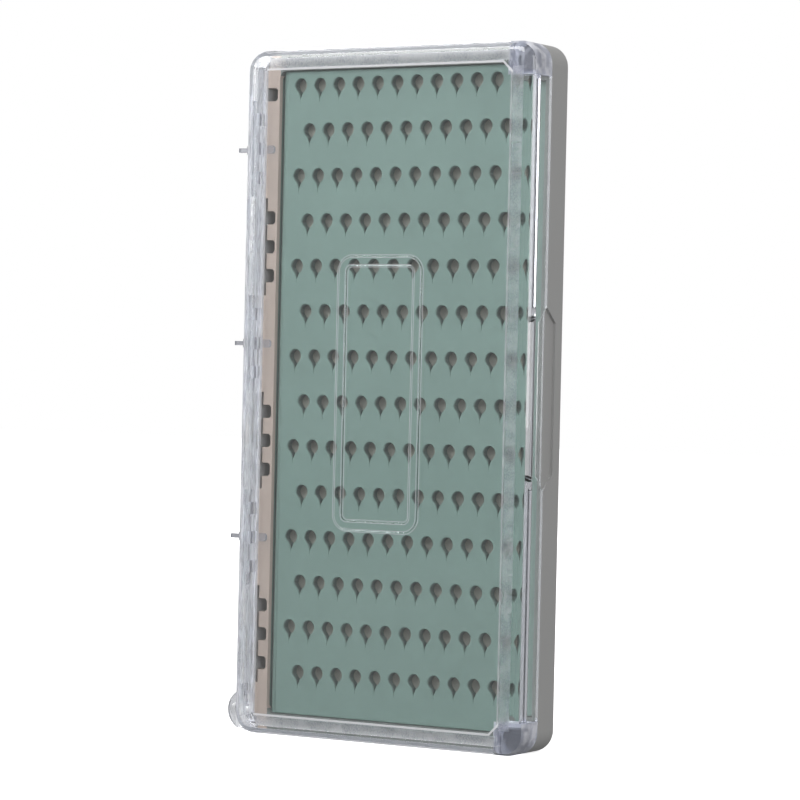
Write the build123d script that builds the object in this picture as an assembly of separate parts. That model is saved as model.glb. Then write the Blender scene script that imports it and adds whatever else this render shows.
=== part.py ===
"""A slim fly box: a clear lid hinged to an opaque tray that holds a slit silicone mat on a deck.

The box stands on a short end. X runs across it, from the hinge (-X) to the opening side (+X); Y runs
through it, from the lid (-Y) to the back of the tray (+Y); Z runs along its length. Every function
works in box coordinates, whose origin is the middle of the parting plane at the lower end; to_origin()
then brings the middle of the overall width and thickness over the part's origin. Millimetres.
"""

import os
from math import acos, atan2, cos, hypot, sin

from build123d import *

# The box
length = 177.8             # end to end
body_width = 86.3          # across the two shells, without the hinge and the lanyard eye
lid_depth = 8.2            # parting plane to the outer face of the lid
tray_depth = 10.55         # parting plane to the back of the tray
corner_radius = 5.5        # of the outline
lid_edge_radius = 2.8      # round the lid's face
tray_edge_radius = 3.0     # round the tray's back
rim_gap = 0.2              # between the two rims when the box is shut

# The clear lid
lid_wall = 1.8
lid_plate = 1.7
band_side_inset = 3.6      # long sides of the box to the grained band
band_end_inset = 2.4       # its short ends to the band
band_side_width = 3.1
band_end_width = 2.5
band_sink = 0.15
band_radius = 4.0          # of the band's outer outline
band_inner_radius = 1.5
frame_width = 24.8         # the raised frame on the face
frame_length = 70.0
frame_radius = 4.0
frame_border = 2.45
frame_rise = 0.3
frame_shift = 0.7          # middle of the body to the frame's middle, towards the hinge
frame_lift = 0.3           # the same, upwards

# The opaque tray
tray_wall = 1.9
tray_back = 1.8
rib_thickness = 1.2
rib_pitch = 20.0
rib_count = 3
rib_end_space = 14.0       # end of the box to the end of a rib

# Corner posts for the magnets, in both shells, and the magnets
post_size = 8.4            # from the outside of the box, both ways
post_chamfer = 2.0
magnet_radius = 2.5
magnet_thickness = 2.0
magnet_sink = 0.1          # below the rim
magnet_inset = 4.6         # centre, from the outside of the box, both ways

# The deck
deck_fit = 0.1             # to the tray's walls and posts
deck_sink = 0.1            # parting plane to the deck's upper face
deck_plate = 1.6
ledge_width = 3.9          # along the hinge
lip_width = 0.9            # along the opening side and round the posts
end_lip_width = 2.8
pocket_depth = 3.1
pocket_radius = 2.0
ledge_slot_long = 3.5
ledge_slot_wide = 3.3
ledge_slot_chamfer = 0.6
ledge_groove_wide = 0.9
ledge_groove_deep = 1.2

# The silicone mat
mat_thickness = 2.2
mat_fit = 0.1              # to the pocket's sides
hole_width = 3.5           # of an egg-shaped head
hole_head = 2.0            # widest place to the top
hole_neck_width = 1.1
hole_neck = 1.7            # widest place to the neck
hole_tail = 3.5            # widest place to the tip of the tail
hole_tip_width = 0.2
rows = 14
columns = 12
row_pitch = 11.78
column_pitch = 5.87
top_margin = 8.8           # end of the box to the first row
first_column = 11.8        # outside of the hinge side to a long row's first hole

# The hinge
knuckle_pitch = 25.4
knuckle_radius = 1.2
knuckle_gap = 0.4          # between neighbouring knuckles
least_end = 12.0           # least length of the half stretch at each end
barrel_gap = 0.2           # between a knuckle and the other shell's wall
web_reach = 5.0            # parting plane to the far end of a knuckle's web
web_start = 0.4
end_space = 3.3            # end of the box to the top knuckle
pin_radius = 0.6
pin_clearance = 0.05
pin_sink = 0.6             # below the open end of the top knuckle
pin_floor = 9.2            # lower end of the box to the bottom of the blind bore
pin_end_gap = 0.3          # bottom of the blind bore to the pin
bore_floor = 1.2           # bottom of the blind bore to the lower end of its knuckle
finger_pitch = 7.6         # ribs and slots beside the knuckles
finger_width = 3.2
finger_rise = 0.7
finger_reach = 4.5         # parting plane to the far end of a rib
tab_length = 3.5
tab_width = 2.1
tab_chamfer = 0.5
tab_thickness = 0.7
tab_lift = 0.6             # above the ledge
peg_reach = 6.6            # outside of the body to the tip of a stop peg
peg_width = 1.1
peg_back = 0.5             # past the parting plane, towards the tray
peg_front = 0.6
peg_root_width = 2.2
peg_root_reach = 4.0

# The lanyard eye on the lid
eye_reach = 5.1            # outside of the body to the eye's far side
eye_radius = 5.35
eye_hole_radius = 1.9
eye_web = 1.2              # hole to the eye's far side
eye_front = 2.9            # parting plane to the two faces of the eye
eye_back = 0.3
eye_edge = 0.5

# The thumb recess, across both rims of the opening side
thumb_long = 46.0          # at the parting plane
thumb_short = 38.0         # at its two edges
thumb_lid = 3.9            # parting plane to its edge on the lid
thumb_tray = 4.8
thumb_sink = 0.7

# Worked out from the values above
half_width = body_width / 2
middle = length / 2
lid_face = -lid_depth
lid_rim = -rim_gap / 2
tray_rim = rim_gap / 2
deck_top = deck_sink
mat_floor = deck_top + pocket_depth
mat_top = mat_floor - mat_thickness
deck_under = mat_floor + deck_plate
axis_x = -(half_width + barrel_gap + knuckle_radius)
stretches = 2 * int((length - 2 * least_end) / (2 * knuckle_pitch))
end_stretch = (length - stretches * knuckle_pitch) / 2
starts = [end_stretch + knuckle_pitch * k for k in range(stretches)]
tray_starts, lid_starts = starts[0::2], starts[1::2]
deck_inset = tray_wall + deck_fit
deck_half_width = half_width - deck_inset
pocket_left = -deck_half_width + ledge_width
pocket_right = deck_half_width - lip_width
pocket_end = deck_inset + end_lip_width
overhang = max(peg_reach, eye_reach, barrel_gap + 2 * knuckle_radius)     # past the hinge side


def slab(profile, y_front, y_back):
    """A sketch in X and Z, drawn out through the thickness from y_front to y_back."""
    return extrude(Plane.XZ.offset(-y_back) * profile, amount=y_back - y_front)


def outline(inset, radius):
    """The box's rounded rectangle, drawn in by inset."""
    return Pos(0, middle) * RectangleRounded(body_width - 2 * inset, length - 2 * inset, radius)


def post_profile(grow=0.0):
    """The two corner posts of the opening side, seen along Y, with their inner corners cut off."""
    size = post_size + grow
    square = Rectangle(size, size, align=(Align.MAX, Align.MAX))
    inner = square.vertices().sort_by(Axis.X)[:2].sort_by(Axis.Y)[0]
    post = chamfer(inner, post_chamfer)
    return Pos(half_width, length) * post + Pos(half_width, 0) * mirror(post, Plane.XZ)


def magnet_places():
    x = half_width - magnet_inset
    return {"upper": (x, length - magnet_inset), "lower": (x, magnet_inset)}


def disc(place, radius, y_front, y_back):
    x, z = place
    return slab(Pos(x, z) * Circle(radius), y_front, y_back)


def thumb_recess():
    """The shallow six-sided recess in the opening side, one solid across both shells."""
    z_long, z_short = thumb_long / 2, thumb_short / 2
    points = [(-thumb_lid, -z_short), (0, -z_long), (thumb_tray, -z_short),
              (thumb_tray, z_short), (0, z_long), (-thumb_lid, z_short)]
    side = Plane.YZ.offset(half_width - thumb_sink) * Pos(0, middle) * make_face(Polyline(*points, close=True))
    return extrude(side, amount=2 * thumb_sink)


def knuckle(z_low, z_high, side):
    """One barrel and the web that ties it to its own shell: side is -1 for the lid, 1 for the tray."""
    wall_x = half_width + axis_x                      # from the hinge axis to the shells' walls, below zero
    reach = -wall_x
    distance = hypot(reach, web_reach)
    angle = atan2(web_reach, reach) + acos(knuckle_radius / distance)
    touch = (knuckle_radius * cos(angle), knuckle_radius * sin(angle) * side)
    root = reach + min(lid_wall, tray_wall) / 2
    web = make_face(Polyline((0, 0), (root, web_start * side), (root, web_reach * side),
                             (reach, web_reach * side), touch, close=True))
    profile = Circle(knuckle_radius) + web
    return extrude(Plane.XY.offset(z_low) * Pos(axis_x, 0) * profile, amount=z_high - z_low)


def pin_bore(z_low, z_high, radius):
    return extrude(Plane.XY.offset(z_low) * Pos(axis_x, 0) * Circle(radius), amount=z_high - z_low)


def knuckle_span(start):
    """The two ends of a full knuckle whose stretch of the hinge begins at start."""
    return start + knuckle_gap / 2, start + knuckle_pitch - knuckle_gap / 2


def finger_places(start):
    centre = start + knuckle_pitch / 2
    return [centre + finger_pitch * k for k in (-1, 0, 1)]


def lid():
    """The clear half: a shallow shell with corner posts, hinge knuckles, stop pegs and a lanyard eye."""
    shell = slab(outline(0, corner_radius), lid_face, lid_rim)
    shell = fillet(shell.edges().group_by(Axis.Y)[0], lid_edge_radius)
    shell += lanyard_eye()
    shell -= slab(outline(lid_wall, corner_radius - lid_wall), lid_face + lid_plate, lid_rim)
    shell += slab(post_profile() & outline(lid_wall / 2, corner_radius - lid_wall / 2),
                  lid_face + lid_plate, lid_rim)
    shell += raised_frame()
    shell -= grained_band()
    for start in lid_starts:
        shell += knuckle(*knuckle_span(start), -1) + lid_fingers(start) + stop_peg(start)
        shell -= pin_bore(start, start + knuckle_pitch, pin_radius + pin_clearance)
    shell += knuckle(pin_floor - bore_floor, end_stretch - knuckle_gap / 2, -1)
    shell -= pin_bore(pin_floor, end_stretch, pin_radius + pin_clearance)
    for place in magnet_places().values():
        shell -= disc(place, magnet_radius, lid_rim - magnet_sink - magnet_thickness, lid_rim)
    return shell - thumb_recess()


def raised_frame():
    """The bare rounded frame that stands out of the lid's face."""
    outer = RectangleRounded(frame_width, frame_length, frame_radius)
    inner = RectangleRounded(frame_width - 2 * frame_border, frame_length - 2 * frame_border,
                             frame_radius - frame_border)
    ring = slab(Pos(-frame_shift, middle + frame_lift) * (outer - inner), lid_face - frame_rise, lid_face)
    return chamfer(ring.edges().group_by(Axis.Y)[0], frame_rise / 2)


def grained_band():
    """The sunken band that runs round the lid's face, for its grained finish."""
    outer_width, outer_length = body_width - 2 * band_side_inset, length - 2 * band_end_inset
    outer = RectangleRounded(outer_width, outer_length, band_radius)
    inner = RectangleRounded(outer_width - 2 * band_side_width, outer_length - 2 * band_end_width,
                             band_inner_radius)
    return slab(Pos(0, middle) * (outer - inner), lid_face, lid_face + band_sink)


def lid_fingers(start):
    """Three ribs inside the lid beside one knuckle, and the tab that reaches over the ledge."""
    wall = -half_width + lid_wall
    ribs = [Pos(wall, z) * Rectangle(2 * finger_rise, finger_width) for z in finger_places(start)]
    shape = slab(Sketch() + ribs, -finger_reach, deck_top - tab_lift)
    tab = Pos(wall, start + knuckle_pitch / 2) * Rectangle(2 * tab_length, tab_width)
    tab = chamfer(tab.vertices().group_by(Axis.X)[-1], tab_chamfer)
    shape += slab(tab, deck_top - tab_lift - tab_thickness, deck_top - tab_lift)
    inside = slab(outline(lid_wall / 2, corner_radius - lid_wall / 2), lid_face + lid_plate / 2, lid_rim)
    return shape & inside


def stop_peg(start):
    """The peg on the middle of a lid knuckle that meets the tray's wall when the lid is fully open."""
    z = start + knuckle_pitch / 2
    tip = -half_width - peg_reach
    root = -half_width - peg_root_reach
    points = [(axis_x, z - peg_root_width / 2), (root, z - peg_root_width / 2), (root, z - peg_width / 2),
              (tip, z - peg_width / 2), (tip, z + peg_width / 2), (root, z + peg_width / 2),
              (root, z + peg_root_width / 2), (axis_x, z + peg_root_width / 2)]
    return slab(make_face(Polyline(*points, close=True)), -peg_front, peg_back)


def lanyard_eye():
    """A flat round eye beside the lower corner of the hinge side."""
    x = -half_width - eye_reach + eye_radius
    hole_x = -half_width - eye_reach + eye_web + eye_hole_radius
    plate = slab(Pos(x, eye_radius) * Circle(eye_radius), -eye_front, -eye_back)
    plate = chamfer(plate.edges(), eye_edge)
    return plate - disc((hole_x, eye_radius), eye_hole_radius, -eye_front, -eye_back)


def tray():
    """The opaque half: a shell with ribs under the deck, corner posts and hinge knuckles."""
    shell = slab(outline(0, corner_radius), tray_rim, tray_depth)
    shell = fillet(shell.edges().group_by(Axis.Y)[-1], tray_edge_radius)
    floor = tray_depth - tray_back
    shell -= slab(outline(tray_wall, corner_radius - tray_wall), tray_rim, floor)
    shell += slab(post_profile() & outline(tray_wall / 2, corner_radius - tray_wall / 2), tray_rim, floor)
    for k in range(rib_count):
        x = rib_pitch * (k - (rib_count - 1) / 2)
        shell += slab(Pos(x, middle) * Rectangle(rib_thickness, length - 2 * rib_end_space), deck_under, floor)
    for start in tray_starts:
        shell += knuckle(*knuckle_span(start), 1)
    shell += knuckle(length - end_stretch + knuckle_gap / 2, length - end_space, 1)
    shell -= pin_bore(end_stretch, length, pin_radius)
    for place in magnet_places().values():
        shell -= disc(place, magnet_radius, tray_rim, tray_rim + magnet_sink + magnet_thickness)
    return shell - thumb_recess()


def deck():
    """The liner in the tray: a raised ledge along the hinge, a thin lip and a pocket for the mat."""
    profile = outline(deck_inset, corner_radius - deck_inset) - post_profile(deck_fit)
    shape = slab(profile, deck_top, deck_under)
    shape -= slab(pocket_profile(), deck_top, mat_floor)
    groove_x = -deck_half_width + ledge_groove_wide / 2
    for start in tray_starts:
        groove = Pos(groove_x, start + knuckle_pitch / 2) * Rectangle(ledge_groove_wide, knuckle_pitch)
        shape -= slab(groove, deck_top, deck_top + ledge_groove_deep)
        for z in finger_places(start):
            shape -= ledge_slot(z)
    return shape - ledge_slot(length - end_stretch + ledge_slot_long / 2)


def ledge_slot(z):
    x = -deck_half_width + ledge_slot_wide / 2
    slot = Pos(x, z) * Rectangle(ledge_slot_wide, ledge_slot_long)
    slot = chamfer(slot.vertices().group_by(Axis.X)[-1], ledge_slot_chamfer)
    return slab(slot, deck_top, deck_under)


def pocket_profile(shrink=0.0):
    """The mat's pocket, seen along Y, drawn in by shrink."""
    left, right = pocket_left + shrink, pocket_right - shrink
    end = pocket_end + shrink
    shape = Pos((left + right) / 2, middle) * Rectangle(right - left, length - 2 * end)
    shape = fillet(shape.vertices().group_by(Axis.X)[0], pocket_radius - shrink)
    return shape - post_profile(deck_fit + lip_width + shrink)


def teardrop():
    """One slit hole: an egg-shaped head that narrows to a neck and runs out in a pointed tail."""
    wide, neck, tip = hole_width / 2, hole_neck_width / 2, hole_tip_width / 2
    side = [(wide / 2, hole_head), (wide, hole_head / 4), (neck, -hole_neck), (tip, -hole_tail)]
    return make_face(Polyline(*side, *[(-x, y) for x, y in reversed(side)], close=True))


def silicone_mat():
    """The green mat, with staggered rows of teardrop holes."""
    holes = []
    for row in range(rows):
        shift = (row % 2) * column_pitch / 2
        for column in range(columns):
            x = -half_width + first_column + shift + column * column_pitch
            holes.append(Pos(x, length - top_margin - row * row_pitch) * teardrop())
    return slab(pocket_profile(mat_fit) - holes, mat_top, mat_floor)


def hinge_pin():
    return pin_bore(pin_floor + pin_end_gap, length - end_space - pin_sink, pin_radius)


def magnets(side):
    """The two disc magnets of one shell: side is -1 for the lid, 1 for the tray."""
    near = side * (rim_gap / 2 + magnet_sink)
    far = near + side * magnet_thickness
    return {name: disc(place, magnet_radius, min(near, far), max(near, far))
            for name, place in magnet_places().items()}


def to_origin(shape):
    """Brings the middle of the overall width and thickness over the origin."""
    return Pos(overhang / 2, (lid_depth + frame_rise - tray_depth) / 2, 0) * shape


def main():
    nodes = {"lid": lid(), "tray": tray(), "insert_deck": deck(), "silicone_mat": silicone_mat(),
             "hinge_pin": hinge_pin()}
    for name, shape in magnets(-1).items():
        nodes[f"lid_magnet_{name}"] = shape
    for name, shape in magnets(1).items():
        nodes[f"tray_magnet_{name}"] = shape
    os.makedirs("parts", exist_ok=True)
    for name, shape in nodes.items():
        export_step(to_origin(shape), f"parts/{name}.step")


main()
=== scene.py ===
"""Looks for a slim fly box: a clear lid over a grey tray with a green slit-silicone mat, on its short end."""
from math import cos, radians, sin

import bmesh
import bpy
from mathutils import Matrix, Vector


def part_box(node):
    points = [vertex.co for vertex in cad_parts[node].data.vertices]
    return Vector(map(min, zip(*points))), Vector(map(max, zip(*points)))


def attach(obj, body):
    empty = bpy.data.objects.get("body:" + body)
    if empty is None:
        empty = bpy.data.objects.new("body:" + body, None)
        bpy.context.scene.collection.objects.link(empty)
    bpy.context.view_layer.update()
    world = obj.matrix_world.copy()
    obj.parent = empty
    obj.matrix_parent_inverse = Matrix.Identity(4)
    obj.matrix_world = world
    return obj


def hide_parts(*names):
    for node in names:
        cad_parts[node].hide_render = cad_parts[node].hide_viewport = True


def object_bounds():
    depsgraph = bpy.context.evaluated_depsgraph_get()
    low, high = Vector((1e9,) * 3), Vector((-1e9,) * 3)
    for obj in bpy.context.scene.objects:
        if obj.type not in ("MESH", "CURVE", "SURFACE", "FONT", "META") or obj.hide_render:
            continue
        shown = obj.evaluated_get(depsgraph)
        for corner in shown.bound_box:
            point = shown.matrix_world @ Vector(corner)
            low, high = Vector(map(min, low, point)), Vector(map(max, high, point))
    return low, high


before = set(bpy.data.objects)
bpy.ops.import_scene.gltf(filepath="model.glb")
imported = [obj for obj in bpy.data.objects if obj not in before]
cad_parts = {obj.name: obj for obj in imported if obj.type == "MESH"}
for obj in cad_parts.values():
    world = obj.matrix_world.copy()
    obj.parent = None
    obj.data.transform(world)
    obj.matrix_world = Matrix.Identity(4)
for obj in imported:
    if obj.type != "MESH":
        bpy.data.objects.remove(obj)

mm = 0.001
cad_box = [list(corner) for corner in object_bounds()]
bpy.ops.object.select_all(action="DESELECT")


# ---------------------------------------------------------------------------------------------
# The tray. The opaque half of the box, injection moulded in grey ABS with its hinge knuckles and
# corner posts; its outside is spark eroded, so that it looks satin and does not show scratches.
# ---------------------------------------------------------------------------------------------

def linear(hex_colour):
    """An sRGB hex value as the linear colour that a shader takes."""
    channels = [int(hex_colour[k:k + 2], 16) / 255 for k in (1, 3, 5)]
    return [c / 12.92 if c <= 0.04045 else ((c + 0.055) / 1.055) ** 2.4 for c in channels] + [1.0]


def add_node(tree, kind, inputs=(), **settings):
    """Adds a node, sets its properties, and sets or links its inputs, given as a dict by name or number."""
    node = tree.nodes.new(kind)
    for name, value in settings.items():
        setattr(node, name, value)
    for name, value in dict(inputs).items():
        if isinstance(value, bpy.types.NodeSocket):
            tree.links.new(value, node.inputs[name])
        else:
            node.inputs[name].default_value = value
    return node


def new_material(name):
    """An empty node material, its tree and its output node."""
    material = bpy.data.materials.new(name)
    material.use_nodes = True
    material.node_tree.nodes.clear()
    return material, material.node_tree, add_node(material.node_tree, "ShaderNodeOutputMaterial")


def moulded_plastic(name, colour, roughness, recolour=None):
    """ABS with a spark-eroded skin: a 0.5 mm grain in the bump, and a slow drift in shade from the flow. Where
    a piece isn't one colour all over, or carries painted shade, recolour takes the tree and this shade, and
    gives the colour to use."""
    grain_per_metre = 1 / (0.5 * mm)
    flow_per_metre = 1 / (40 * mm)
    material, tree, output = new_material(name)
    place = add_node(tree, "ShaderNodeTexCoord").outputs["Object"]
    grain = add_node(tree, "ShaderNodeTexNoise", {"Vector": place, "Scale": grain_per_metre, "Detail": 2.0})
    flow = add_node(tree, "ShaderNodeTexNoise", {"Vector": place, "Scale": flow_per_metre, "Detail": 1.0})
    shade = add_node(tree, "ShaderNodeMapRange", {"Value": flow.outputs["Fac"], "To Min": 0.96, "To Max": 1.03})
    tint = add_node(tree, "ShaderNodeHueSaturation", {"Value": shade.outputs["Result"],
                                                      "Color": linear(colour)})
    skin_colour = recolour(tree, tint.outputs["Color"]) if recolour else tint.outputs["Color"]
    bump = add_node(tree, "ShaderNodeBump", {"Height": grain.outputs["Fac"], "Strength": 0.35,
                                             "Distance": 0.05 * mm})
    surface = add_node(tree, "ShaderNodeBsdfPrincipled", {
        "Base Color": skin_colour, "Roughness": roughness, "IOR": 1.54, "Normal": bump.outputs["Normal"]})
    tree.links.new(surface.outputs["BSDF"], output.inputs["Surface"])
    return material


def finish_node(name, material):
    """Gives a CAD node its material."""
    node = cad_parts[name]
    node.data.materials.clear()
    node.data.materials.append(material)


finish_node("tray", moulded_plastic("spark_eroded_grey_abs", "#A6A6A5", 0.5))


# ---------------------------------------------------------------------------------------------
# The deck. A liner moulded in a warmer grey ABS that fills the tray; its ledge shows along the hinge
# and its floor shows through the holes of the mat.
# ---------------------------------------------------------------------------------------------

ledge_end = -33.8 * mm               # across, where the ledge falls into the pocket
pocket_floor = 2.175 * mm            # under the mat
floor_margin = 0.3 * mm


def below(tree, value, limit):
    """1 where a value is less than a limit, and 0 elsewhere."""
    return add_node(tree, "ShaderNodeMath", {0: value, 1: limit}, operation="LESS_THAN").outputs[0]


def above(tree, value, limit):
    """1 where a value is more than a limit, and 0 elsewhere."""
    return add_node(tree, "ShaderNodeMath", {0: value, 1: limit}, operation="GREATER_THAN").outputs[0]


def liner_colours_and_painted_shade(tree, ledge_colour):
    """The ledge in its own colour; the lips beside it darker and cooler, as painted shade; and the floor under
    the mat darker, as painted shade down in the holes, and greener."""
    place = add_node(tree, "ShaderNodeTexCoord").outputs["Object"]
    axes = add_node(tree, "ShaderNodeSeparateXYZ", {0: place}).outputs
    # Beside the ledge the lips are darker: a painted shade.
    upper = add_node(tree, "ShaderNodeMix", {
        0: below(tree, axes["X"], ledge_end), 6: linear("#666B67"), 7: ledge_colour}, data_type="RGBA")
    # Under the mat the floor is darker, a painted shade down in the holes, and greener.
    whole = add_node(tree, "ShaderNodeMix", {
        0: above(tree, axes["Y"], pocket_floor - floor_margin), 6: upper.outputs[2],
        7: linear("#8C8C80")}, data_type="RGBA")
    return whole.outputs[2]


finish_node("insert_deck", moulded_plastic("warm_grey_abs_liner", "#AE9E92", 0.55, liner_colours_and_painted_shade))


# ---------------------------------------------------------------------------------------------
# The mat. Soft green-grey silicone, compression moulded with 168 egg-shaped holes, each of which
# runs down into a slit that grips a hook, and laid in the deck's pocket.
# ---------------------------------------------------------------------------------------------

def pick(piece, kind, test):
    """In edit mode, selects the vertices, edges or faces of a piece that pass a test, and nothing else."""
    bpy.ops.mesh.select_mode(type={"verts": "VERT", "edges": "EDGE", "faces": "FACE"}[kind])
    bpy.ops.mesh.select_all(action="DESELECT")
    shape = bmesh.from_edit_mesh(piece.data)
    for item in getattr(shape, kind):
        item.select = bool(test(item))
    shape.select_flush(True)
    bmesh.update_edit_mesh(piece.data)


def select_only(piece):
    bpy.ops.object.select_all(action="DESELECT")
    piece.select_set(True)
    bpy.context.view_layer.objects.active = piece


def apply_modifier(piece, kind, **settings):
    """Gives a piece a modifier with these settings, and applies it."""
    select_only(piece)
    modifier = piece.modifiers.new(kind.lower(), kind)
    for name, value in settings.items():
        setattr(modifier, name, value)
    bpy.ops.object.modifier_apply(modifier=modifier.name)


def block(name, low, high):
    """A box between two corners, with its place in its mesh."""
    low, high = Vector(low), Vector(high)
    bpy.ops.object.select_all(action="DESELECT")
    bpy.ops.mesh.primitive_cube_add(size=1.0, location=(low + high) / 2, scale=high - low)
    bpy.ops.object.transform_apply(location=True, rotation=True, scale=True)
    piece = bpy.context.object
    piece.name = name
    return piece


def subtract(piece, cutter):
    """Cuts a cutter's shape out of a piece, and removes the cutter."""
    apply_modifier(piece, "BOOLEAN", operation="DIFFERENCE", solver="EXACT", object=cutter)
    bpy.data.objects.remove(cutter)


shell_x, parting_y, shell_z = 3.3 * mm, -1.025 * mm, 88.9 * mm    # the middle of the shells, where they part
half_width, half_length = 43.15 * mm, 88.9 * mm
mat_low, mat_high = (Vector(corner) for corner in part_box("silicone_mat"))
mat_top = mat_low.y
post_gap = 9.5 * mm                          # outside of the box to the mat, at a post
post_cut = 2.0 * mm
near = 0.1 * mm                              # how close to a place still counts as there
pocket_corner, top_edge = 1.9 * mm, 0.3 * mm

silicone_sheet = block("silicone_sheet", mat_low, mat_high)
outer_x = shell_x + half_width
for end_z, inward in ((0.0, 1.0), (2 * half_length, -1.0)):
    notch = block("notch", (outer_x - post_gap, mat_low.y - mm, min(end_z, end_z + inward * post_gap)),
                  (outer_x + mm, mat_high.y + mm, max(end_z, end_z + inward * post_gap)))
    bpy.ops.object.mode_set(mode="EDIT")
    pick(notch, "edges", lambda e: all(v.co.x < outer_x - post_gap + near and
                                       abs(v.co.z - end_z - inward * post_gap) < near for v in e.verts))
    bpy.ops.mesh.bevel(offset=post_cut, offset_type="OFFSET", segments=1, affect="EDGES")
    bpy.ops.object.mode_set(mode="OBJECT")
    subtract(silicone_sheet, notch)
select_only(silicone_sheet)
bpy.ops.object.mode_set(mode="EDIT")
pick(silicone_sheet, "edges", lambda e: all(v.co.x < mat_low.x + near for v in e.verts)
     and abs(e.verts[0].co.y - e.verts[1].co.y) > mm)
bpy.ops.mesh.bevel(offset=pocket_corner, segments=6, affect="EDGES")
pick(silicone_sheet, "edges", lambda e: all(v.co.y < mat_top + 0.01 * mm for v in e.verts)
     and len(e.link_faces) == 2 and e.calc_face_angle(0.0) > 1.0)
bpy.ops.mesh.bevel(offset=top_edge, segments=3, affect="EDGES")
bpy.ops.object.mode_set(mode="OBJECT")

# One hole's cutter is a circle whose lower half is drawn down into a slit, sunk through the sheet in
# rings; the first rings are wider, so that each hole has a soft rim.
row_pitch, column_pitch = 11.78 * mm, 5.87 * mm
first_hole = Vector((shell_x - half_width + 11.8 * mm, mat_top, 2 * half_length - 8.8 * mm))
hole_radius = 1.75 * mm
crown = 1.14                                 # how much taller the upper half is than round
# From the tip up: the circle's point, in steps of 20 degrees, how much narrower, and how many mm lower.
tail = ((9, 1.0, 2.65), (8, 0.13, 1.50), (7, 0.56, 0.41), (6, 0.85, 0.17), (5, 0.98, 0.05))
rim_width, rim_height, rim_lift = 1.14, 1.08, 0.05 * mm
rings = ((0.14, 0.925), (0.35, 0.96), (2.5, 1.0))        # how many mm deeper, and how much narrower
bpy.ops.object.select_all(action="DESELECT")
bpy.ops.mesh.primitive_circle_add(vertices=18, radius=hole_radius, rotation=(radians(90), 0, 0),
                                  location=first_hole)
hole = bpy.context.object
bpy.ops.object.transform_apply(location=True, rotation=True, scale=True)
bpy.ops.object.mode_set(mode="EDIT")
pick(hole, "verts", lambda v: v.co.z > first_hole.z + near)
bpy.ops.transform.resize(value=(1.0, 1.0, crown), center_override=first_hole)
for step, narrower, lower in tail:
    level = first_hole.z + hole_radius * cos(radians(20 * step))
    pick(hole, "verts", lambda v: abs(v.co.z - level) < 0.03 * mm)
    bpy.ops.transform.resize(value=(narrower, 1.0, 1.0), center_override=first_hole)
    bpy.ops.transform.translate(value=(0.0, 0.0, -lower * mm))
bpy.ops.mesh.select_all(action="SELECT")
bpy.ops.mesh.edge_face_add()
bpy.ops.transform.translate(value=(0.0, -rim_lift, 0.0))
bpy.ops.transform.resize(value=(rim_width, 1.0, rim_height), center_override=first_hole)
for depth, narrower in rings:
    bpy.ops.mesh.extrude_region_move(TRANSFORM_OT_translate={"value": (0.0, depth * mm, 0.0)})
    bpy.ops.transform.resize(value=(narrower, 1.0, narrower), center_override=first_hole)
bpy.ops.mesh.select_all(action="SELECT")
bpy.ops.mesh.normals_make_consistent(inside=False)
bpy.ops.object.mode_set(mode="OBJECT")
for count, step in ((2, (column_pitch / 2, 0.0, -row_pitch)), (12, (column_pitch, 0.0, 0.0)),
                    (7, (0.0, 0.0, -2 * row_pitch))):
    apply_modifier(hole, "ARRAY", count=count, use_relative_offset=False, use_constant_offset=True,
                   constant_offset_displace=step)
subtract(silicone_sheet, hole)
select_only(silicone_sheet)
bpy.ops.object.shade_smooth_by_angle(angle=radians(50))
bpy.ops.object.mode_set(mode="EDIT")
pick(silicone_sheet, "faces", lambda f: abs(f.normal.y) > 0.999 or abs(f.normal.y) < 0.001)
bpy.ops.mesh.faces_shade_flat()
bpy.ops.object.mode_set(mode="OBJECT")

# Matt silicone with slow clouds of pigment. Part of the shade down inside the holes is in its colour.
silicone, tree, output = new_material("moulded_green_silicone")
place = add_node(tree, "ShaderNodeTexCoord").outputs["Object"]
cloud = add_node(tree, "ShaderNodeTexNoise", {"Vector": place, "Scale": 1 / (18 * mm), "Detail": 3.0})
shade = add_node(tree, "ShaderNodeMapRange", {"Value": cloud.outputs["Fac"], "To Min": 0.93, "To Max": 1.07})
deep = add_node(tree, "ShaderNodeMapRange", {
    "Value": add_node(tree, "ShaderNodeSeparateXYZ", {0: place}).outputs["Y"], "From Min": mat_top + 0.1 * mm,
    "From Max": mat_top + 0.8 * mm, "To Min": 1.0, "To Max": 0.42})
shade = add_node(tree, "ShaderNodeMath", {0: shade.outputs["Result"], 1: deep.outputs["Result"]},
                 operation="MULTIPLY")
tint = add_node(tree, "ShaderNodeHueSaturation", {"Value": shade.outputs[0], "Color": linear("#70887F")})
skin = add_node(tree, "ShaderNodeTexNoise", {"Vector": place, "Scale": 1 / (0.6 * mm), "Detail": 2.0})
bump = add_node(tree, "ShaderNodeBump", {"Height": skin.outputs["Fac"], "Strength": 0.2, "Distance": 0.02 * mm})
surface = add_node(tree, "ShaderNodeBsdfPrincipled", {
    "Base Color": tint.outputs["Color"], "Roughness": 0.55, "IOR": 1.41, "Normal": bump.outputs["Normal"]})
tree.links.new(surface.outputs["BSDF"], output.inputs["Surface"])
silicone_sheet.data.materials.append(silicone)
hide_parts("silicone_mat")
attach(silicone_sheet, "tray_body")


# ---------------------------------------------------------------------------------------------
# The pin and the magnets. A drawn stainless pin, and nickel-plated discs pressed into the posts. The
# discs' finish is lighter and far less metallic than nickel, which looks black through cloudy posts.
# ---------------------------------------------------------------------------------------------

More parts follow.
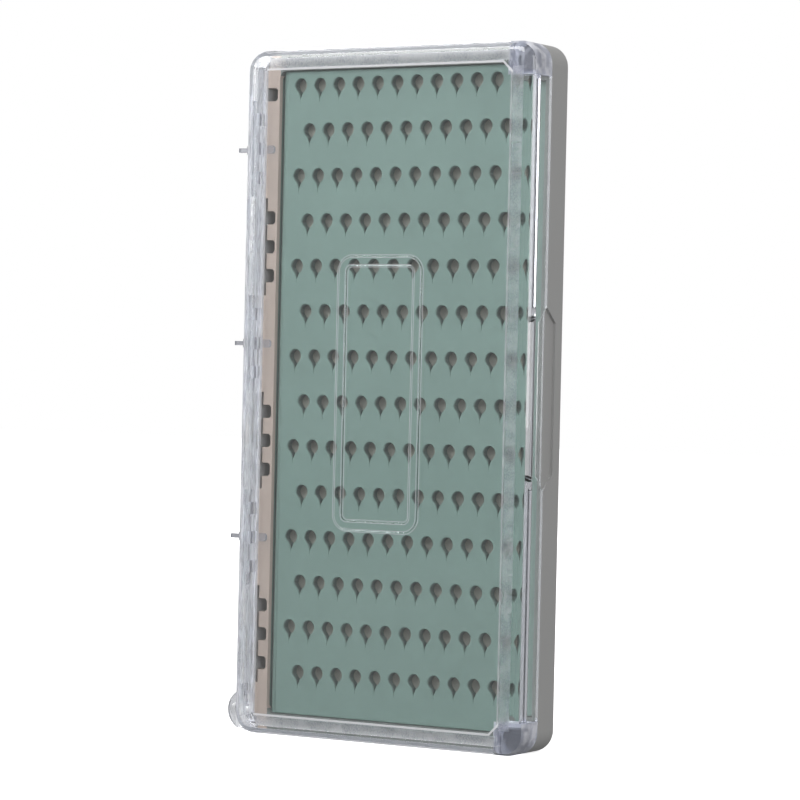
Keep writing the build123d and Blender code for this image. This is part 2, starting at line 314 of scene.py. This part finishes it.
def plated_metal(name, colour, metallic, roughness):
    """Metal with fine tumbling marks of about 0.4 mm, which vary its gloss."""
    material, tree, output = new_material(name)
    place = add_node(tree, "ShaderNodeTexCoord").outputs["Object"]
    marks = add_node(tree, "ShaderNodeTexNoise", {"Vector": place, "Scale": 1 / (0.4 * mm), "Detail": 2.0})
    rough = add_node(tree, "ShaderNodeMapRange", {"Value": marks.outputs["Fac"], "To Min": roughness * 0.7,
                                                  "To Max": roughness * 1.3})
    surface = add_node(tree, "ShaderNodeBsdfPrincipled", {
        "Base Color": linear(colour), "Metallic": metallic, "Roughness": rough.outputs["Result"]})
    tree.links.new(surface.outputs["BSDF"], output.inputs["Surface"])
    return material


finish_node("hinge_pin", plated_metal("drawn_stainless_steel", "#B9B8B4", 1.0, 0.3))
nickel = plated_metal("matt_nickel_plated_magnet", "#DADADD", 0.3, 0.5)
for shell in ("lid", "tray"):
    for end in ("upper", "lower"):
        finish_node(f"{shell}_magnet_{end}", nickel)


# ---------------------------------------------------------------------------------------------
# The lid. Clear polycarbonate, injection moulded in a polished mould, so that it is glossy; only the
# sunk band round its front is grained, and its two thick posts are left cloudy with sink and flow.
# ---------------------------------------------------------------------------------------------

def both(tree, first, second):
    """1 where both of two masks are. A plain number as the second weakens the first."""
    return add_node(tree, "ShaderNodeMath", {0: first, 1: second}, operation="MULTIPLY").outputs[0]


def either(tree, first, second):
    """The stronger of two masks."""
    return add_node(tree, "ShaderNodeMath", {0: first, 1: second}, operation="MAXIMUM").outputs[0]


def between(tree, value, low, high):
    """1 where a value lies between two limits, and 0 elsewhere."""
    return both(tree, above(tree, value, low), below(tree, value, high))


lid_depth = 8.2 * mm
band_side, band_end = (36.45 * mm, 39.55 * mm), (84.0 * mm, 86.5 * mm)      # borders, from the middle
band_corner = 4.0 * mm
border_width = 0.55 * mm                                                    # the polished slope inside the band
band_cut = 2.6 * mm                                                         # off its inner corners, at the posts
post_size = 8.4 * mm
frame_half = (12.4 * mm, 35.0 * mm)                                         # the raised frame
frame_place = (-0.7 * mm, 0.3 * mm)
frame_corner, frame_border, frame_slope = 4.0 * mm, 2.45 * mm, 0.34 * mm

polycarbonate, tree, output = new_material("clear_polycarbonate")
place = add_node(tree, "ShaderNodeTexCoord").outputs["Object"]
from_middle = add_node(tree, "ShaderNodeVectorMath", {0: place, 1: (shell_x, parting_y, shell_z)},
                       operation="SUBTRACT").outputs[0]
across, depth, upward = add_node(tree, "ShaderNodeSeparateXYZ", {0: from_middle}).outputs
distance = add_node(tree, "ShaderNodeVectorMath", {0: from_middle}, operation="ABSOLUTE").outputs[0]
sideways, _, along = add_node(tree, "ShaderNodeSeparateXYZ", {0: distance}).outputs
front = below(tree, depth, 0.2 * mm - lid_depth)

# Where the skin is grained: the straight lengths of the band on the opening side and the ends.
side_grain = both(tree, between(tree, across, *band_side), below(tree, along, band_end[1] - band_corner))
end_grain = both(tree, between(tree, along, *band_end), below(tree, sideways, band_side[1] - band_corner))
grained = both(tree, front, either(tree, side_grain, end_grain))

# The polished slope along the band's inner border, with a painted highlight on it as a light line.
side_slope = both(tree, between(tree, sideways, band_side[0] - border_width, band_side[0]),
                  below(tree, along, band_end[0]))
end_slope = both(tree, between(tree, along, band_end[0] - border_width, band_end[0]),
                 below(tree, sideways, band_side[0]))
reach = add_node(tree, "ShaderNodeMath", {0: across, 1: along}, operation="ADD")
past_cut = add_node(tree, "ShaderNodeMath", {0: reach.outputs[0], 1: band_side[0] + band_end[0] - band_cut},
                    operation="SUBTRACT").outputs[0]
cut_slope = both(tree, between(tree, past_cut, -1.4 * border_width, 0.0),
                 both(tree, below(tree, across, band_side[0]), below(tree, along, band_end[0])))
straight = both(tree, either(tree, both(tree, side_slope, 0.5), end_slope), below(tree, past_cut, 0.0))
border_highlight = both(tree, front, either(tree, straight, cut_slope))

# The raised frame's edges slope for 0.8 mm; along both edges of each slope a fine light line is a painted
# highlight.
# How far a point is from the frame's outline comes from how far it is past the middles of its corners.
past_corner = from_middle
for operation, amount in (("SUBTRACT", (frame_place[0], 0.0, frame_place[1])),
                          ("ABSOLUTE", (0.0, 0.0, 0.0)),
                          ("SUBTRACT", (frame_half[0] - frame_corner, 0.0, frame_half[1] - frame_corner))):
    past_corner = add_node(tree, "ShaderNodeVectorMath", {0: past_corner, 1: amount},
                           operation=operation).outputs[0]
past_x, _, past_z = add_node(tree, "ShaderNodeSeparateXYZ", {0: past_corner}).outputs
corner = add_node(tree, "ShaderNodeCombineXYZ", {"X": either(tree, past_x, 0.0),
                                                 "Y": either(tree, past_z, 0.0)})
outside = add_node(tree, "ShaderNodeVectorMath", {0: corner.outputs[0]}, operation="LENGTH").outputs["Value"]
inside = add_node(tree, "ShaderNodeMath", {0: either(tree, past_x, past_z), 1: 0.0},
                  operation="MINIMUM").outputs[0]
from_border = outside
for operation, amount in (("ADD", inside), ("SUBTRACT", frame_corner), ("ADD", frame_border / 2),
                          ("ABSOLUTE", 0.0), ("SUBTRACT", frame_border / 2), ("ABSOLUTE", 0.0)):
    from_border = add_node(tree, "ShaderNodeMath", {0: from_border, 1: amount}, operation=operation).outputs[0]
frame_edge_highlight = both(tree, front, between(tree, from_border, frame_slope - 0.1 * mm, frame_slope + 0.08 * mm))

# The posts behind the opening corners, with cloudy flow marks of about 2 mm.
post = both(tree, above(tree, across, half_width - post_size - near),
            above(tree, along, half_length - post_size - near))
post = both(tree, post, above(tree, depth, 1.0 * mm - lid_depth))
flow = add_node(tree, "ShaderNodeTexNoise", {"Vector": place, "Scale": 1 / (2.5 * mm), "Detail": 3.0})
clouds = add_node(tree, "ShaderNodeMapRange", {"Value": flow.outputs["Fac"], "From Min": 0.38, "From Max": 0.65,
                                               "To Min": 0.6, "To Max": 0.88})
cloudy = both(tree, post, clouds.outputs[0])

# The hinge side is dull from rubbing, and its streaky pale haze is partly painted light; its pegs and tabs
# are thin and look milky, and so does the eye.
hinge_side = below(tree, across, 2.0 * mm - half_width)
peg = below(tree, across, -half_width - 2.2 * mm)
eye = both(tree, peg, below(tree, upward, 12.0 * mm - half_length))
tab = both(tree, between(tree, across, 1.9 * mm - half_width, 6.0 * mm - half_width),
           above(tree, depth, -1.3 * mm))
long_way = add_node(tree, "ShaderNodeMapping", {"Vector": place, "Scale": (1.0, 1.0, 0.15)})
streaks = add_node(tree, "ShaderNodeTexNoise", {"Vector": long_way.outputs[0], "Scale": 1 / (1.2 * mm),
                                                "Detail": 2.0})
rubbed_and_painted_light = add_node(tree, "ShaderNodeMapRange", {"Value": streaks.outputs["Fac"], "From Min": 0.4,
                                               "From Max": 0.62, "To Min": 0.0, "To Max": 0.62})
milky_and_painted_light = either(tree, both(tree, hinge_side, rubbed_and_painted_light.outputs[0]),
               both(tree, either(tree, both(tree, tab, 0.35), peg), 0.6))
milky_and_painted_light = add_node(tree, "ShaderNodeMath", {0: milky_and_painted_light, 1: both(tree, eye, 0.35)}, operation="SUBTRACT").outputs[0]

grain = add_node(tree, "ShaderNodeTexNoise", {"Vector": place, "Scale": 1 / (0.45 * mm), "Detail": 2.0})
waves = add_node(tree, "ShaderNodeTexNoise", {"Vector": place, "Scale": 1 / (14 * mm), "Detail": 1.0})
height = add_node(tree, "ShaderNodeMath", {0: both(tree, grained, grain.outputs["Fac"]),
                                           1: both(tree, waves.outputs["Fac"], 0.05)}, operation="ADD")
rounded = add_node(tree, "ShaderNodeBevel", {"Radius": 0.18 * mm}, samples=6)
bump = add_node(tree, "ShaderNodeBump", {"Height": height.outputs[0], "Strength": 0.8, "Distance": 0.08 * mm,
                                         "Normal": rounded.outputs["Normal"]})
smudge = add_node(tree, "ShaderNodeTexNoise", {"Vector": place, "Scale": 1 / (25 * mm), "Detail": 3.0})
polish = add_node(tree, "ShaderNodeMapRange", {"Value": smudge.outputs["Fac"], "From Min": 0.35,
                                               "From Max": 0.7, "To Min": 0.015, "To Max": 0.05})
duller = either(tree, both(tree, hinge_side, 0.12),
                either(tree, both(tree, grained, 0.4), both(tree, post, 0.3)))
roughness = add_node(tree, "ShaderNodeMath", {0: polish.outputs[0], 1: duller}, operation="ADD").outputs[0]
surface = add_node(tree, "ShaderNodeBsdfPrincipled", {
    "Base Color": linear("#FAFBFC"), "Roughness": roughness, "IOR": 1.585, "Transmission Weight": 1.0,
    "Normal": bump.outputs["Normal"]})
specks = add_node(tree, "ShaderNodeMapRange", {"Value": grain.outputs["Fac"], "From Min": 0.42,
                                               "From Max": 0.58, "To Min": 0.0, "To Max": 0.42})
speckle = both(tree, grained, specks.outputs[0])
# The haze also carries the painted highlights on the band's border and the frame's edges, and the painted light
# on the hinge side.
haze_and_highlight_amount = either(tree, either(tree, cloudy, milky_and_painted_light), either(tree, speckle, either(
    tree, both(tree, border_highlight, 0.7), both(tree, frame_edge_highlight, 0.42))))
patches = add_node(tree, "ShaderNodeMapRange", {"Value": flow.outputs["Fac"], "From Min": 0.42,
                                                "From Max": 0.6, "To Min": 0.0, "To Max": 1.0})
patchy = add_node(tree, "ShaderNodeMix", {0: patches.outputs[0], 6: linear("#A7AAB6"), 7: linear("#DFE0E6")},
                  data_type="RGBA")
# These painted highlights and the hinge side's painted light are near white.
painted_highlight_white = add_node(tree, "ShaderNodeMix", {0: either(tree, either(tree, border_highlight, frame_edge_highlight), hinge_side),
                                          6: patchy.outputs[2], 7: linear("#F2F2F6")}, data_type="RGBA")
milk_and_highlight_colour = add_node(tree, "ShaderNodeMix", {0: either(tree, tab, peg), 6: painted_highlight_white.outputs[2],
                                        7: linear("#96979E")}, data_type="RGBA")
haze_and_highlight_diffuse = add_node(tree, "ShaderNodeBsdfDiffuse", {"Color": milk_and_highlight_colour.outputs[2]})
plastic = add_node(tree, "ShaderNodeMixShader", {0: haze_and_highlight_amount, 1: surface.outputs["BSDF"], 2: haze_and_highlight_diffuse.outputs["BSDF"]})
light_through = add_node(tree, "ShaderNodeBsdfTransparent", {"Color": linear("#F0F2F4")})
ray = add_node(tree, "ShaderNodeLightPath")
mixed = add_node(tree, "ShaderNodeMixShader", {
    0: ray.outputs["Is Shadow Ray"], 1: plastic.outputs[0], 2: light_through.outputs["BSDF"]})
tree.links.new(mixed.outputs[0], output.inputs["Surface"])
body = add_node(tree, "ShaderNodeVolumeAbsorption", {"Color": (0.80, 0.81, 0.87, 1.0), "Density": 55.0})
tree.links.new(body.outputs[0], output.inputs["Volume"])
finish_node("lid", polycarbonate)


# ---------------------------------------------------------------------------------------------
# The setting: a pale floor, the light and the camera. The floor is pale only where the camera sees it
# straight, and a darker grey to all that it lights, so that it doesn't fill the lid from below.
# ---------------------------------------------------------------------------------------------

def shows_backdrop(tree):
    """1 on the way to the eye, also by a reflection or through the lid, and 0 for light that falls on the
    object; and how bright the backdrop is there: white, or pale grey in a reflection, so that the lid
    doesn't wash out."""
    ray = add_node(tree, "ShaderNodeLightPath").outputs
    straight = either(tree, ray["Is Camera Ray"], either(tree, ray["Is Glossy Ray"], ray["Is Transmission Ray"]))
    reflected = above(tree, ray["Glossy Depth"], 0.5)
    brightness = add_node(tree, "ShaderNodeMath", {0: reflected, 1: -0.45, 2: 1.0}, operation="MULTIPLY_ADD")
    return both(tree, straight, below(tree, ray["Diffuse Depth"], 0.5)), brightness.outputs[0]


bpy.ops.mesh.primitive_plane_add(size=6.0, location=(0, 0, cad_box[0][2]))
floor = bpy.context.object
floor.name = "floor"
white_paper, tree, output = new_material("white_paper")
seen, brightness = shows_backdrop(tree)
eye_ray = add_node(tree, "ShaderNodeLightPath").outputs["Is Camera Ray"]
tone = add_node(tree, "ShaderNodeMix", {0: eye_ray, 6: linear("#4C4C4C"), 7: linear("#F4F4F4")},
                data_type="RGBA")
matt = add_node(tree, "ShaderNodeBsdfDiffuse", {"Color": tone.outputs[2]})
none = add_node(tree, "ShaderNodeEmission", {"Color": (0, 0, 0, 1), "Strength": 0.0})
glow = add_node(tree, "ShaderNodeEmission", {"Color": (1, 1, 1, 1), "Strength": both(tree, brightness, 0.82)})
shown = add_node(tree, "ShaderNodeMixShader", {0: seen, 1: none.outputs[0], 2: glow.outputs[0]})
sheet = add_node(tree, "ShaderNodeAddShader", {0: matt.outputs[0], 1: shown.outputs[0]})
tree.links.new(sheet.outputs[0], output.inputs["Surface"])
floor.data.materials.append(white_paper)

world = bpy.data.worlds.new("studio")
bpy.context.scene.world = world
world.use_nodes = True
tree = world.node_tree
tree.nodes.clear()
seen, brightness = shows_backdrop(tree)
fill = add_node(tree, "ShaderNodeBackground", {"Color": (1, 1, 1, 1), "Strength": 0.46})
backdrop = add_node(tree, "ShaderNodeBackground", {"Color": (1, 1, 1, 1), "Strength": brightness})
sky = add_node(tree, "ShaderNodeMixShader", {0: seen, 1: fill.outputs[0], 2: backdrop.outputs[0]})
tree.links.new(sky.outputs[0], add_node(tree, "ShaderNodeOutputWorld").inputs["Surface"])


def softbox(name, place, aim, size, watts):
    """A square area light at place, turned to aim."""
    bpy.ops.object.light_add(type="AREA", location=place)
    lamp = bpy.context.object
    lamp.name = name
    lamp.rotation_euler = (Vector(aim) - Vector(place)).to_track_quat("-Z", "Y").to_euler()
    lamp.data.size = size
    lamp.data.energy = watts


centre = (0, 0, 0.09)
softbox("key", (-0.3, -0.55, 0.6), centre, 0.4, 4.1)
softbox("fill", (0.9, -0.6, 0.4), centre, 0.7, 5.2)
softbox("back", (-0.7, 0.75, 0.5), centre, 0.7, 1.7)

lens = 141.93
camera_place = Vector((419.46, -693.30, 94.21)) * mm
azimuth, elevation, roll = radians(30.946), radians(0.460), radians(1.270)
back = Vector((sin(azimuth) * cos(elevation), -cos(azimuth) * cos(elevation), sin(elevation)))
level = Vector((cos(azimuth), sin(azimuth), 0))
upward = back.cross(level)
right = cos(roll) * level + sin(roll) * upward
up = cos(roll) * upward - sin(roll) * level
bpy.ops.object.camera_add()
camera = bpy.context.object
camera.matrix_world = Matrix.Translation(camera_place) @ Matrix((right, up, back)).transposed().to_4x4()
camera.data.lens = lens
camera.data.sensor_width = 36.0
bpy.context.scene.camera = camera
bpy.context.scene.view_settings.view_transform = "Standard"
bpy.context.scene.cycles.glossy_bounces = 12         # the clear walls guide light round their corners
